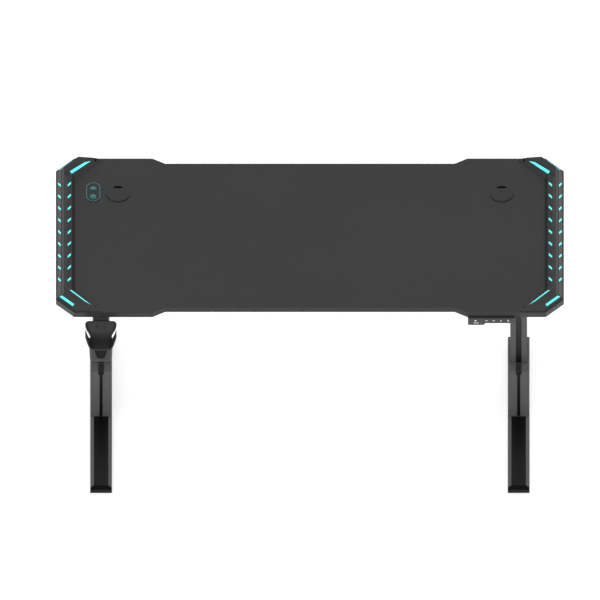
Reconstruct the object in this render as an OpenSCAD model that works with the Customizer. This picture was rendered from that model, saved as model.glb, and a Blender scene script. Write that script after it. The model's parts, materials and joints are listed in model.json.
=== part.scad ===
// Height-adjustable gaming desk, drawn with its lift fully down.
// X runs along the desk, Y from front to back, Z up from the floor.

/* [Desktop] */
// Width of the desktop over its end frames
desk_w = 1400; // [1300:10:1800]
// Depth of the desktop at its ends
desk_d = 600; // [560:10:800]
// Height of the desktop surface above the floor
desk_h = 720; // [700:5:780]
// Thickness of the desktop board
top_t = 18; // [16:1:25]
// Run of the 45 degree cut on each outer corner
corner_cut = 50; // [35:1:70]
// How far the middle of the front and back edges is set in
waist = 20; // [5:1:35]
// Half width of the middle part at its narrow edge
waist_half = 399; // [300:1:440]
// Run of each slanted end of the middle part
waist_run = 35; // [15:1:60]

/* [End frames] */
// Width of the side rail
rail_w = 52.7; // [50:0.1:60]
// Width of a corner piece, square to its cut
corner_w = 58.8; // [56:0.1:66]
// Length of the wrap round the front edge, from the desk's end
wrap_w = 121; // [100:1:135]
// Wall of the frame round the board's edge
skirt_t = 7.5; // [7:0.5:9]
// Wall of the frame above its light channel
shell_t = 3; // [2:0.1:3.4]
// Height of the rail's crest above the desktop
rim_h = 22; // [22:0.1:23]
// Height of the rail's shoulder beside the crest
shoulder_h = 14.6; // [13:0.1:16]
// Height of the step below the outer light face
step_h = 0.4; // [0.2:0.1:3]
// Width of the ledge outside the outer light face
ledge_w = 3.1; // [2:0.1:4]
// Width of the outer light face
outer_face_w = 11; // [9:0.1:12]
// Width of the seam beside the outer light face
seam_w = 1.4; // [1:0.1:3]
// Width of the crest
crest_w = 6.9; // [5:0.1:8]
// Width of the slope behind the crest
back_slope_w = 8.2; // [6:0.1:9]
// Width of the inner light face
inner_face_w = 13.8; // [12:0.1:14.5]
// Height of the inner light face at its outer edge
inner_face_h = 15.5; // [14.6:0.1:17]
// Fall of the inner light face across its width
inner_face_fall = 1.5; // [0.5:0.1:3]
// Width of the ledge outside a corner's light slope
corner_ledge = 6; // [4:0.1:7]
// Rise of a corner's outer slope for each unit across
corner_slope = 1.83; // [1.6:0.01:2]
// Height of a corner's top over the desk's end
corner_h = 21.5; // [20:0.1:21.8]
// Height of a corner's top at its tip
tip_h = 8; // [7:0.1:9]
// Height of a corner's inner light face on its middle line
corner_face_h = 13.7; // [11:0.1:14]
// Angle by which a corner's inner light face falls to the tip
corner_tilt = 3; // [2:0.1:5]

/* [Lights] */
// Light dashes in each row
dash_n = 9; // [5:1:9]
// Distance from a row's end dash to the desk's edge
row_margin = 114.8; // [112:0.1:140]
// Length of a dash along the rail
dash_len = 8.6; // [8:0.1:14]
// Slant of an outer dash, as run for each unit across
outer_slant = 2.5; // [1:0.01:3]
// Slant of an inner dash, as run for each unit across
inner_slant = 1.3; // [0.5:0.01:1.6]
// Width of a border between a dash and its face's edges
dash_border = 1.5; // [0.6:0.1:2]
// How far the outer dashes stand behind the inner ones
outer_dash_shift = 4.2; // [0:0.1:6]
// How far an inner bar's tip reaches past its cut end
bar_tip = 2.2; // [0:0.1:4]
// Width of the light bar on a corner's outer slope
outer_bar_w = 2.9; // [2:0.1:5]
// Width of the light bar on a corner's inner face
inner_bar_w = 7.1; // [5:0.1:10]
// How far a corner's outer lens stands out of its slope
lens_proud = 1.2; // [0.5:0.1:2]
// Width of the light strip in the channel
strip_w = 8; // [5:0.5:10]
// Thickness of the light strip
strip_t = 1.5; // [1:0.1:2.5]

/* [Touch pad and grommets] */
// Width of the touch pad
pad_w = 40; // [30:1:44]
// Depth of the touch pad
pad_d = 74; // [60:1:90]
// Cut of the touch pad's corners
pad_cut = 12; // [6:1:15]
// Height of the touch pad above the desktop
pad_rise = 1.2; // [0.6:0.1:2]
// Depth of the pocket that holds the touch pad
pad_pocket = 5; // [3:0.5:8]
// Touch pad's middle, from the desk's left end
pad_from_end = 103; // [100:1:110]
// Touch pad's middle, behind the desk's middle line
pad_y = 169; // [150:1:175]
// Diameter of the grommet cap and the sleeve's flange
cap_dia = 66.5; // [64:0.1:68]
// Thickness of the grommet cap's plate
cap_t = 1.4; // [1:0.1:3]
// Diameter of the grommet hole in the board
grommet_bore = 60; // [50:1:61]
// Wall of the grommet sleeve
sleeve_wall = 2; // [1.5:0.1:3]
// Thickness of the sleeve's flange
flange_t = 0.8; // [0.6:0.1:1.5]
// Grommets' middle, from the desk's ends
grommet_from_end = 171.3; // [170:0.1:200]
// Grommets' middle, behind the desk's middle line
grommet_y = 165; // [160:1:185]
// Width of the cable slot in a grommet cap
cable_slot_w = 25; // [20:1:30]
// Depth of the cable slot in a grommet cap
cable_slot_d = 9; // [7:0.5:11]

/* [Legs] */
// Middle of a leg, from the desk's end
leg_from_end = 124.6; // [122:0.1:135]
// Length of a foot
foot_len = 583; // [500:1:640]
// Width of a foot
foot_w = 60; // [56:1:70]
// Height of a foot's bar
foot_h = 20; // [18:0.5:28]
// Run of the foot's bevels
bevel_w = 10; // [6:0.5:12]
// Drop of the foot's bevels
bevel_h = 8; // [5:0.5:9]
// Wall of the foot's bar
foot_wall = 3; // [2:0.5:4]
// Height of the foot's underside above the floor
foot_lift = 8; // [6:0.5:12]
// Depth of the groove for the trim on a foot
foot_groove = 1.5; // [1:0.1:2]
// Middle of the columns, behind the desk's middle line
column_y = 62; // [40:1:75]
// Width of the outer column
column_w = 46.5; // [44:0.5:52]
// Depth of the outer column
column_d = 80; // [76:1:90]
// Gap from the outer column up to the box over it
column_gap = 12; // [8:1:20]
// Wall of the outer column
column_wall = 3; // [2.5:0.1:4]
// Width of the dark strip down the column
strip_groove_w = 15.8; // [12:0.1:20]
// Depth of the grooves for the dark strips
strip_groove = 2; // [1.5:0.1:2]
// Thickness of the dark strips
dark_strip_t = 1; // [0.6:0.1:1.4]
// Height of the cover round the column's foot
cover_h = 173; // [120:1:220]
// Wall of that cover
cover_wall = 3; // [2.5:0.1:4]
// How far the cover stands in front of the column
cover_front = 34.6; // [25:0.1:45]
// How far the cover stands behind the column
cover_back = 22; // [15:0.1:30]
// Width of the narrow groove down the cover
cover_groove_w = 8.8; // [6:0.1:11]
// Drop of the notch in the cover's top edge
cover_notch = 12.5; // [8:0.1:20]
// Diameter of a leveller's pad
leveller_dia = 38; // [30:1:50]
// Diameter of a leveller's stem
leveller_stem = 8; // [6:1:10]
// Levellers' middle, from the foot's ends
leveller_from_end = 36; // [30:1:60]

/* [Lift] */
// Travel of the lift
lift_travel = 460; // [400:1:460]
// Gap between the walls of the outer and inner columns
slide_gap = 2; // [1.5:0.1:2.5]
// Wall of the inner column
inner_wall = 2.5; // [2:0.1:3]
// Height of a glide ring
glide_h = 30; // [20:1:40]
// Distance from the upper glide ring to the lower one
glide_pitch = 60; // [45:1:65]
// Height of the inner column's lower end above the foot
inner_lift = 32; // [20:1:40]
// Diameter of the lift spindle
spindle_dia = 14; // [12:1:16]
// Outer diameter of the nut tube
nut_tube_dia = 24; // [21:1:26]
// Length of the nut at the top of its tube
nut_len = 30; // [20:1:40]
// Distance from the nut up to the drive unit
nut_drop = 30; // [20:1:40]
// Diameter of the lift motor
motor_dia = 46; // [40:1:47]
// Length of the lift motor
motor_len = 110; // [80:1:130]

/* [Top frame] */
// Width of the box over each column
head_w = 65; // [60:1:67]
// Depth of the box over each column
head_d = 130; // [120:1:140]
// Height of the box over each column
head_h = 56; // [54:1:62]
// Wall of the top frame's steel
frame_wall = 3; // [2:0.5:4]
// Width of a rail between the legs
cross_w = 25; // [20:1:30]
// Height of a rail between the legs
cross_h = 40; // [30:1:45]
// Width of an arm under the board
arm_w = 40; // [30:1:42]
// Height of an arm under the board
arm_h = 25; // [20:1:30]
// Gap from the arms' ends to the desk's edges
arm_setback = 70; // [66:1:90]
// Outward offset of the arms from the leg's middle
arm_offset = 10; // [8:1:12]

/* [Electrics] */
// Width of the control box
control_w = 220; // [160:1:260]
// Depth of the control box
control_d = 90; // [70:1:110]
// Height of the control box
control_h = 34; // [28:1:45]
// Gap from the rear rail to the control box
control_gap = 15; // [8:1:25]
// Width of the mains inlet
inlet_w = 28; // [24:1:32]
// Height of the mains inlet
inlet_h = 20; // [16:1:22]
// Diameter of the leads under the board
lead_dia = 5; // [3:0.5:7]
// Width of the hand controller
panel_w = 129.7; // [125:0.1:150]
// Height of the hand controller
panel_h = 18; // [17:0.5:22]
// Depth of the hand controller
panel_d = 58; // [40:1:70]
// Width of the controller's deeper end
tab_w = 43.4; // [35:0.1:44]
// Height of the controller's deeper end
tab_h = 25; // [23:0.5:30]
// How far the controller stands in front of the desktop
panel_out = 5.5; // [2:0.1:10]
// Controller's outer end, from the desk's right end
panel_from_end = 134.7; // [130:0.1:150]
// Wall of the controller
panel_wall = 2; // [1.5:0.1:2.5]
// Width of a key
key_w = 13; // [10:0.5:14]
// Height of a key
key_h = 7.5; // [6:0.5:8.5]
// Travel of a key
key_travel = 1; // [0.5:0.1:1.5]
// First key's middle, from the controller's inner end
key_start = 21; // [18:0.5:22]
// Distance from the first key to the next
key_first_pitch = 30; // [28:0.5:31]
// Distance between the other keys
key_pitch = 20; // [19:0.1:21]
// Width of the display window
display_w = 19; // [15:0.5:24]
// Height of the display window
display_h = 8; // [6:0.5:8.5]

/* [Cup holder] */
// Cup holder's middle, from the desk's left end
holder_from_end = 124; // [110:1:140]
// Cup holder's middle, in front of the desk's front edge
holder_out = 46; // [45:0.5:60]
// Width of the cup holder at its base
holder_base_w = 61; // [50:1:64]
// Width of the cup holder where it begins to flare
holder_mid_w = 64; // [60:1:70]
// Width of the cup holder at its rim
holder_top_w = 86.6; // [75:0.1:88]
// Height of the cup holder
holder_h = 86; // [75:1:100]
// Height at which the cup holder begins to flare
holder_mid_h = 45; // [35:1:50]
// Wall of the cup holder
holder_wall = 2.8; // [2:0.1:3.5]
// Radius of the cup holder's upright corners
holder_corner = 12; // [8:1:16]
// Width of the slot behind each arm of the cup holder
holder_slot_w = 20; // [14:1:22]
// Height of the lip at the cup holder's front
lip_h = 14; // [8:1:20]
// Gap from the desktop's underside down to the rim
holder_drop = 12; // [8:1:25]

/* [Hidden] */
$fn = 48;

// Clearances
fit = 0.3;      // between flat faces of separate pieces
run = 0.08;     // radial, on turning and sliding round pieces
bolt_fit = 0.2; // radial, round bolts
over = 1;       // how far a cut runs past a face

// Desktop
half_w = desk_w / 2;
half_d = desk_d / 2;
top_z = desk_h - top_t;
diag_sum = half_w + half_d - corner_cut;
root2 = sqrt(2);
skirt_cut = (skirt_t + fit) * tan(22.5);
lip_at_mid = holder_mid_w / 2;
desk_y = (holder_out + lip_at_mid) / 2;

// End frames
a1 = ledge_w;
a2 = a1 + outer_face_w;
a3 = a2 + seam_w;
a4 = a3 + crest_w;
a5 = a4 + back_slope_w;
a6 = a5 + inner_face_w;
inner_low_h = inner_face_h - inner_face_fall;
face_rise = (shoulder_h - step_h) / outer_face_w;
tip_x = diag_sum - root2 * corner_w - half_d;
corner_back = 1.3;
face_mid_s = 46.2;
face_fall = 0.65;
shell_drop = shell_t + 0.5;
outer_bar_s = 10;
inner_bar_s = 40;
bar_x0 = half_w - corner_cut;
outer_bar_x1 = half_w - 11;
inner_bar_x1 = half_w - 38.5;
inner_bar_y = half_d - 29;
tip_slot = [4.5, 11, 3];
tip_slot_x = tip_x + 23.7;
tip_slot_y = half_d - 14;
dash_pitch = (desk_d - 2 * row_margin) / (dash_n - 1);

// Legs
leg_x = half_w - leg_from_end;
foot_top = foot_lift + foot_h;
column_front = column_y - column_d / 2;
cover_y0 = column_front - cover_front;
cover_d = cover_front + column_d + cover_back;
cover_top = foot_top + cover_h;
foot_cap_len = bevel_w;
leveller_y = foot_len / 2 - leveller_from_end;
bolt_r = 4;
bolt_dx = 12;
bolt_dy = 24;
base_plate_t = 8;
end_block = leveller_from_end + 24;

// Lift
column_top = top_z - head_h - column_gap;
column_len = column_top - foot_top;
inner_w = column_w - 2 * (column_wall + slide_gap);
inner_d = column_d - 2 * (column_wall + slide_gap);
drive_z = top_z - head_h + frame_wall;
inner_z0 = foot_top + inner_lift;
nut_z1 = drive_z - nut_drop;
spindle_r = spindle_dia / 2;
spindle_z0 = inner_z0 + 30;
spindle_seat = 10;
drive_w = 40;
drive_d = 66;
drive_h = head_h - 2 * frame_wall - fit;
motor_z = drive_z + drive_h / 2;

// Top frame
head_y = column_y;
arm_x = leg_x + arm_offset;
arm_reach = half_d - arm_setback;
rail_len = 2 * (leg_x - head_w / 2);
screw_r = 2.5;
screw_head_r = 5;
screw_head_t = 3;
screw_depth = 12;
arm_screw_y = [-arm_reach + 20, -70, head_y + head_d / 2 + 14, arm_reach - 14];
control_y = head_y + head_d / 2 + control_gap + control_d / 2;
control_screw_dx = control_w / 2 + 7;

// Hand controller
panel_x0 = half_w - panel_from_end - panel_w;
panel_y0 = -half_d - panel_out;
key_z = top_z - panel_h / 2 + 1;
key_x = [for (i = [0:4]) panel_x0 + key_start + (i == 0 ? 0 : key_first_pitch + (i - 1) * key_pitch)];
display_z = top_z - tab_h + 3 + display_h / 2;
panel_ear = 14;
board_t = 1.6;
clip_w = 10;
key_back = 7;

// Cup holder
holder_x = -half_w + holder_from_end;
holder_y = -half_d - holder_out;
holder_z = top_z - holder_drop - holder_h;
holder_slot_y = 6;
holder_slot_z = holder_h - 46;
bracket_t = 3;
bracket_w = 40;
bracket_y = -half_d - 1.5;
bracket_reach = 64;

module on_desk() translate([0, desk_y, 0]) children();

// Draws a right-hand piece on the right, or its mirror image on the left
module side(k) {
    on_desk() {
        if (k < 0) mirror([1, 0, 0]) children();
        else children();
    }
}

module both_ways_y() {
    children();
    mirror([0, 1, 0]) children();
}

module block(size, at) translate(at) cube(size);

// A box given by its middle in X and Y and its lower face
module box_on(size, at) translate([at[0] - size[0] / 2, at[1] - size[1] / 2, at[2]]) cube(size);

// Desktop board

function end_outline(inset) = let (k = inset * tan(22.5)) [
    [half_w - inset, half_d - corner_cut - k], [half_w - corner_cut - k, half_d - inset],
    [waist_half + waist_run, half_d - inset], [0, half_d - inset],
    [0, -half_d + inset], [waist_half + waist_run, -half_d + inset],
    [half_w - corner_cut - k, -half_d + inset], [half_w - inset, -half_d + corner_cut + k]];

function mid_outline() = [
    [half_w - wrap_w - fit, half_d], [waist_half + waist_run, half_d],
    [waist_half, half_d - waist], [-waist_half, half_d - waist],
    [-waist_half - waist_run, half_d], [-half_w + wrap_w + fit, half_d],
    [-half_w + wrap_w + fit, -half_d], [-waist_half - waist_run, -half_d],
    [-waist_half, -half_d + waist], [waist_half, -half_d + waist],
    [waist_half + waist_run, -half_d], [half_w - wrap_w - fit, -half_d]];

module pad_shape(gap) {
    w = pad_w / 2 + gap;
    d = pad_d / 2 + gap;
    c = pad_cut;
    polygon([[w, d - c], [w - c, d], [c - w, d], [-w, d - c], [-w, c - d], [c - w, -d], [w - c, -d], [w, c - d]]);
}

module board_end() {
    intersection() {
        linear_extrude(top_t) polygon(end_outline(skirt_t + fit));
        block([half_w, desk_d, top_t], [half_w - wrap_w - fit - over, -half_d, 0]);
    }
}

module desktop() {
    color([0.26, 0.26, 0.27]) on_desk() difference() {
        translate([0, 0, top_z]) {
            linear_extrude(top_t) polygon(mid_outline());
            board_end();
            mirror([1, 0, 0]) board_end();
        }
        for (k = [-1, 1]) translate([k * (half_w - grommet_from_end), grommet_y, top_z - over])
            cylinder(h = top_t + 2 * over, d = grommet_bore + 2 * fit);
        translate([-half_w + pad_from_end, pad_y, desk_h - pad_pocket]) linear_extrude(pad_pocket + over)
            pad_shape(fit);
        for (p = screw_places()) translate([p[0], p[1], top_z - over])
            cylinder(h = screw_depth + over, r = screw_r + 0.05);
    }
}

// End frames

// Height of the rim by the distance from the end or from the corner's cut: the outer slopes go on upwards,
// the inner ones on outwards, and the rim is what lies under both. w and drop inset it for the light channel.
function rail_outer(w, drop) = let (h = step_h - drop + w * face_rise) [[a1 + w, 0], [a1 + w, max(h, 0.3)],
    [a2, shoulder_h - drop], [a3, shoulder_h - drop], [a4, rim_h - drop], [a4 + 6, rim_h - drop + 6],
    [desk_w / 2, rim_h - drop + 6], [desk_w / 2, 0]];

function rail_inner(w, drop) = [[-over, 0], [-over, rim_h + 8], [a4 - 6, rim_h + 8], [a4, rim_h - drop],
    [a5, inner_face_h - drop], [a6 - (w > 0 ? over : 0), inner_low_h - drop], [rail_w - w, 0]];

function corner_outer(w, drop) = let (top = corner_h - drop + 6) [[corner_ledge + w, 0],
    [corner_ledge + w + top / corner_slope, top], [desk_w, top], [desk_w, 0]];

function corner_inner(w, drop) = let (top = corner_h - drop + 6) [[-desk_d, 0], [-desk_d, top],
    [corner_w - w - top / corner_back, top], [corner_w - w, 0]];

function face_line(drop) = let (h = corner_face_h - drop, r = 60) [[face_mid_s - r, -r],
    [face_mid_s - r, h + r * face_fall], [face_mid_s + r, h - r * face_fall], [face_mid_s + r, -r]];

function edge_profile(w, drop) = let (top = corner_h - drop + 6) [[ledge_w + w, 0],
    [ledge_w + w + top / 2.17, top], [desk_d, top], [desk_d, 0]];

function top_line(drop) = [[tip_x - tip_h, 0], [tip_x - tip_h, tip_h * (1 - tip_rise()) - drop],
    [tip_x, tip_h - drop], [half_w - corner_cut, corner_h - drop], [half_w + over, corner_h - drop],
    [half_w + over, 0]];

function tip_rise() = (corner_h - tip_h) / (half_w - corner_cut - tip_x);

// Lays a profile of distance inward and height along the right-hand end
module along_rail(len) translate([half_w, 0, desk_h]) rotate([0, 0, 180]) rotate([90, 0, 0])
    translate([0, 0, -len / 2]) linear_extrude(len) children();

// The same along the rear right corner's cut, tilted down to its tip
module along_corner(tilt) translate([half_w - corner_cut / 2, half_d - corner_cut / 2, desk_h])
    rotate([0, 0, 225]) rotate([90, 0, 0]) rotate([tilt, 0, 0]) translate([0, 0, -desk_d])
    linear_extrude(2 * desk_d) children();

// The same along the rear edge
module along_edge() translate([half_w, half_d, desk_h]) rotate([0, 0, 270]) rotate([90, 0, 0])
    linear_extrude(desk_d) children();

module corner_limit(w, drop) intersection() {
    along_corner(0) polygon(corner_outer(w, drop));
    along_edge() polygon(edge_profile(w, drop));
}

module rim_body(w, drop) {
    intersection() {
        along_rail(desk_d) polygon(rail_outer(w, drop));
        corner_limit(w, drop);
        mirror([0, 1, 0]) corner_limit(w, drop);
        translate([w > 0 ? 6 * shell_t : 0, half_d, desk_h]) rotate([90, 0, 0]) linear_extrude(desk_d)
            polygon(top_line(drop));
        union() {
            along_rail(desk_d) polygon(rail_inner(w, drop));
            both_ways_y() intersection() {
                along_corner(0) polygon(corner_inner(w, drop));
                along_corner(corner_tilt) polygon(face_line(drop));
            }
        }
    }
}

// Rail and corners above the board, solid
module rim_solid() rim_body(0, 0);

// The light channel inside them
module rim_channel() rim_body(shell_t, shell_drop);

module skirt() {
    translate([0, 0, top_z]) intersection() {
        difference() {
            linear_extrude(top_t) polygon(end_outline(0));
            translate([0, 0, -over]) linear_extrude(top_t + 2 * over) polygon(end_outline(skirt_t));
        }
        block([wrap_w + over, desk_d + 2 * over, top_t], [half_w - wrap_w, -half_d - over, 0]);
    }
}

function on_cut(x, s) = [x, diag_sum - root2 * s - x];

module dash(a0, a1, y, slant) {
    x0 = half_w - a0;
    x1 = half_w - a1;
    run_y = slant * (a1 - a0) / 2;
    half = dash_len / 2;
    polygon([[x0, y + run_y - half], [x0, y + run_y + half], [x1, y - run_y + half], [x1, y - run_y - half]]);
}

module outer_bar() {
    s0 = outer_bar_s;
    s1 = outer_bar_s + outer_bar_w;
    polygon([on_cut(bar_x0 + 3.5, s0), on_cut(outer_bar_x1, s0), on_cut(outer_bar_x1 - 6, s1), on_cut(bar_x0, s1)]);
}

module inner_bar() {
    s0 = inner_bar_s;
    s1 = inner_bar_s + inner_bar_w;
    y1 = inner_bar_y + 9;
    polygon([[diag_sum - root2 * s0 - inner_bar_y - bar_tip, inner_bar_y], on_cut(inner_bar_x1, s0),
        on_cut(inner_bar_x1 - 0.7 * inner_bar_w, s1), [diag_sum - root2 * s1 - y1, y1]]);
}

// Upright prisms through the rim at every light window
module light_windows() {
    translate([0, 0, desk_h + fit]) linear_extrude(2 * rim_h) {
        for (i = [0:dash_n - 1]) {
            y = (i - (dash_n - 1) / 2) * dash_pitch;
            dash(a1 + 2.1 * dash_border, a2 - dash_border / 2, y + outer_dash_shift, outer_slant);
            dash(a5 + 1.4 * dash_border, a6 - 2 * dash_border, y, -inner_slant);
        }
        both_ways_y() {
            outer_bar();
            inner_bar();
        }
    }
}

module end_frame(k) {
    color([0.28, 0.28, 0.29]) side(k) {
        difference() {
            rim_solid();
            rim_channel();
            light_windows();
            both_ways_y() translate([tip_slot_x, tip_slot_y, desk_h + tip_slot[2]])
                box_on([tip_slot[0], tip_slot[1], rim_h], [0, 0, 0]);
        }
        skirt();
    }
}

module light_lenses(k) {
    color([0.4, 1, 1]) side(k) difference() {
        union() {
            intersection() {
                rim_solid();
                light_windows();
            }
            both_ways_y() intersection() {
                rim_body(-lens_proud, 0);
                translate([0, 0, desk_h + fit]) linear_extrude(2 * rim_h) outer_bar();
            }
        }
        rim_channel();
    }
}

module light_strip(k) {
    x = half_w - (a3 + a5) / 2;
    s = (corner_ledge + corner_w) / 2 - 3;
    y = diag_sum - root2 * s - x;
    reach = 4.2 * strip_w;
    color([0.8, 0.85, 0.8]) side(k) translate([0, 0, desk_h]) linear_extrude(strip_t) {
        polygon([[x - strip_w / 2, -y], [x + strip_w / 2, -y], [x + strip_w / 2, y], [x - strip_w / 2, y]]);
        both_ways_y() translate([x, y - strip_w / 4]) rotate(135) translate([-strip_w / 4, -strip_w / 2])
            square([reach, strip_w]);
    }
}

module left_end_frame() end_frame(-1);
module right_end_frame() end_frame(1);
module left_light_lenses() light_lenses(-1);
module right_light_lenses() light_lenses(1);
module left_light_strip() light_strip(-1);
module right_light_strip() light_strip(1);

// Touch pad and grommets

module touch_pad() {
    color([0.22, 0.23, 0.24]) on_desk() translate([-half_w + pad_from_end, pad_y, desk_h - pad_pocket])
        linear_extrude(pad_pocket + pad_rise) pad_shape(0);
}

module grommet_sleeve(k) {
    color([0.25, 0.25, 0.26]) side(k) translate([half_w - grommet_from_end, grommet_y, top_z]) difference() {
        union() {
            cylinder(h = top_t, d = grommet_bore);
            translate([0, 0, top_t]) cylinder(h = flange_t, d = cap_dia);
        }
        translate([0, 0, -over]) cylinder(h = top_t + 2 * over, d = grommet_bore - 2 * sleeve_wall);
    }
}

module grommet_cap(k) {
    skirt_r = grommet_bore / 2 - sleeve_wall - run;
    skirt_h = 8;
    slot_y = skirt_r - sleeve_wall;
    color([0.27, 0.27, 0.28]) side(k) translate([half_w - grommet_from_end, grommet_y, desk_h + flange_t])
        difference() {
            union() {
                cylinder(h = cap_t, d = cap_dia);
                translate([0, 0, -skirt_h]) difference() {
                    cylinder(h = skirt_h, r = skirt_r);
                    translate([0, 0, -over]) cylinder(h = skirt_h + over, r = skirt_r - sleeve_wall);
                }
            }
            intersection() {
                translate([0, 0, -over]) cylinder(h = cap_t + 2 * over, r = skirt_r - sleeve_wall);
                box_on([cable_slot_w, cable_slot_d, cap_t + 3 * over], [0, slot_y - cable_slot_d / 2, -over]);
            }
        }
}

module left_grommet_sleeve() grommet_sleeve(-1);
module right_grommet_sleeve() grommet_sleeve(1);
module left_grommet_cap() grommet_cap(-1);
module right_grommet_cap() grommet_cap(1);

// Feet

module foot_section(g) {
    w = foot_w / 2 - g;
    polygon([[-w, g], [w, g], [w, foot_h - bevel_h - g * 0.3], [w - bevel_w, foot_h - g],
        [bevel_w - w, foot_h - g], [-w, foot_h - bevel_h - g * 0.3]]);
}

// Lays a section of width and height along Y under the right-hand column
module along_foot(y0, y1) translate([leg_x, y1, foot_lift]) rotate([90, 0, 0])
    linear_extrude(y1 - y0) children();

function bolt_places() = [for (x = [-bolt_dx, bolt_dx], y = [-bolt_dy, bolt_dy]) [leg_x + x, column_y + y]];

module insert_places(gap) {
    w = foot_w - 2 * bevel_w;
    y0 = -foot_len / 2 + foot_cap_len - gap;
    for (span = [[y0, cover_y0 + gap], [cover_y0 + cover_d - gap, -y0]])
        block([w + 2 * gap, span[1] - span[0], foot_groove + over],
            [leg_x - w / 2 - gap, span[0], foot_top - foot_groove]);
}

module foot(k) {
    y1 = foot_len / 2 - foot_cap_len;
    color([0.45, 0.45, 0.46]) side(k) difference() {
        along_foot(-y1, y1) foot_section(0);
        along_foot(-y1 + end_block, cover_y0) foot_section(foot_wall);
        insert_places(0);
        for (y = [-leveller_y, leveller_y]) translate([leg_x, y, foot_lift - over])
            cylinder(h = foot_h - foot_groove - 2 + over, r = leveller_stem / 2 + run);
        for (p = bolt_places()) translate([p[0], p[1], 0]) {
            cylinder(h = 2 * foot_top, r = bolt_r + bolt_fit);
            cylinder(h = foot_lift + 6, r = 2 * bolt_r);
        }
    }
}

module foot_insert(k) {
    color([0.12, 0.12, 0.13]) side(k) intersection() {
        insert_places(-fit / 2);
        block([foot_w, foot_len, foot_groove], [leg_x - foot_w / 2, -foot_len / 2, foot_top - foot_groove]);
    }
}

module foot_caps(k) {
    y1 = foot_len / 2;
    color([0.1, 0.1, 0.11]) side(k) both_ways_y() intersection() {
        along_foot(y1 - foot_cap_len, y1) foot_section(0);
        translate([leg_x - foot_w / 2, 0, foot_lift]) rotate([90, 0, 90]) linear_extrude(foot_w)
            polygon([[y1 - foot_cap_len, 0], [y1, 0], [y1, foot_h - bevel_h], [y1 - foot_cap_len, foot_h]]);
    }
}

module foot_bolts() {
    head_t = 5;
    color([0.3, 0.3, 0.3]) for (k = [-1, 1]) side(k) for (p = bolt_places())
        translate([p[0], p[1], foot_lift + 6 - head_t]) difference() {
            union() {
                cylinder(h = head_t, r = 1.6 * bolt_r);
                cylinder(h = foot_top + base_plate_t - foot_lift - 6 + head_t, r = bolt_r);
            }
            translate([0, 0, -over]) cylinder(h = 3, r = 2.5, $fn = 6);
        }
}

module leveller(k, y) {
    stem_top = foot_lift + foot_h - foot_groove - 5;
    color([0.1, 0.1, 0.1]) side(k) translate([leg_x, y, 0]) {
        cylinder(h = 3, d = leveller_dia);
        translate([0, 0, 3]) cylinder(h = foot_lift - 3 - fit, d = 0.6 * leveller_dia);
        cylinder(h = stem_top, d = leveller_stem);
    }
}

module left_foot() foot(-1);
module right_foot() foot(1);
module left_foot_insert() foot_insert(-1);
module right_foot_insert() foot_insert(1);
module left_foot_caps() foot_caps(-1);
module right_foot_caps() foot_caps(1);
module left_front_leveller() leveller(-1, -leveller_y);
module left_rear_leveller() leveller(-1, leveller_y);
module right_front_leveller() leveller(1, -leveller_y);
module right_rear_leveller() leveller(1, leveller_y);

// Columns

module base_cover(k) {
    w = foot_w;
    color([0.45, 0.45, 0.46]) side(k) translate([leg_x, 0, foot_top]) difference() {
        box_on([w, cover_d, cover_h], [0, cover_y0 + cover_d / 2, 0]);
        box_on([w - 2 * cover_wall, cover_d - 2 * cover_wall, cover_h - cover_wall + over],
            [0, cover_y0 + cover_d / 2, -over]);
        box_on([column_w + 2 * fit, column_d + 2 * fit, cover_h + 2 * over], [0, column_y, 0]);
        box_on([cover_groove_w, 2 * strip_groove, cover_h], [0, cover_y0, 0]);
        box_on([strip_groove_w, 2 * strip_groove, cover_notch + over], [0, cover_y0, cover_h - cover_notch]);
        box_on([strip_groove_w, 2 * cover_front, 2 * strip_groove], [0, cover_y0, cover_h - strip_groove]);
    }
}

module base_strip(k) {
    y = cover_y0 + strip_groove;
    t = dark_strip_t;
    color([0.12, 0.12, 0.13]) side(k) translate([leg_x, 0, foot_top]) {
        box_on([cover_groove_w - fit, t, cover_h - cover_notch], [0, y - t / 2, 0]);
        box_on([strip_groove_w - fit, t, cover_notch - strip_groove + t], [0, y - t / 2, cover_h - cover_notch]);
        box_on([strip_groove_w - fit, cover_front - strip_groove - fit + t, t],
            [0, (column_front - fit + y - t) / 2, cover_h - strip_groove]);
    }
}

module outer_column(k) {
    color([0.42, 0.42, 0.43]) side(k) translate([leg_x, 0, 0]) difference() {
        box_on([column_w, column_d, column_len], [0, column_y, foot_top]);
        box_on([column_w - 2 * column_wall, column_d - 2 * column_wall, column_len],
            [0, column_y, foot_top + base_plate_t]);
        box_on([strip_groove_w, 2 * strip_groove, column_len - cover_h + 2 * over],
            [0, column_front, cover_top - over]);
        for (p = bolt_places()) translate([p[0] - leg_x, p[1], foot_top - over])
            cylinder(h = base_plate_t + 2 * over, r = bolt_r + run);
    }
}

module column_strip(k) {
    t = dark_strip_t;
    color([0.12, 0.12, 0.13]) side(k) box_on([strip_groove_w - fit, t, column_len - cover_h],
        [leg_x, column_front + strip_groove - t / 2, cover_top]);
}

// Plastic rings fixed inside the outer column that guide the inner one
module glides(k) {
    color([0.85, 0.85, 0.82]) side(k) for (z = [column_top - glide_h, column_top - glide_h - glide_pitch])
        translate([leg_x, column_y, z]) difference() {
            box_on([inner_w + 2 * slide_gap, inner_d + 2 * slide_gap, glide_h], [0, 0, 0]);
            box_on([inner_w + 2 * fit, inner_d + 2 * fit, glide_h + 2 * over], [0, 0, -over]);
        }
}

module inner_column(k) {
    color([0.42, 0.42, 0.43]) side(k) translate([leg_x, column_y, inner_z0]) difference() {
        box_on([inner_w, inner_d, drive_z - frame_wall - inner_z0], [0, 0, 0]);
        box_on([inner_w - 2 * inner_wall, inner_d - 2 * inner_wall, drive_z], [0, 0, -over]);
    }
}

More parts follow.
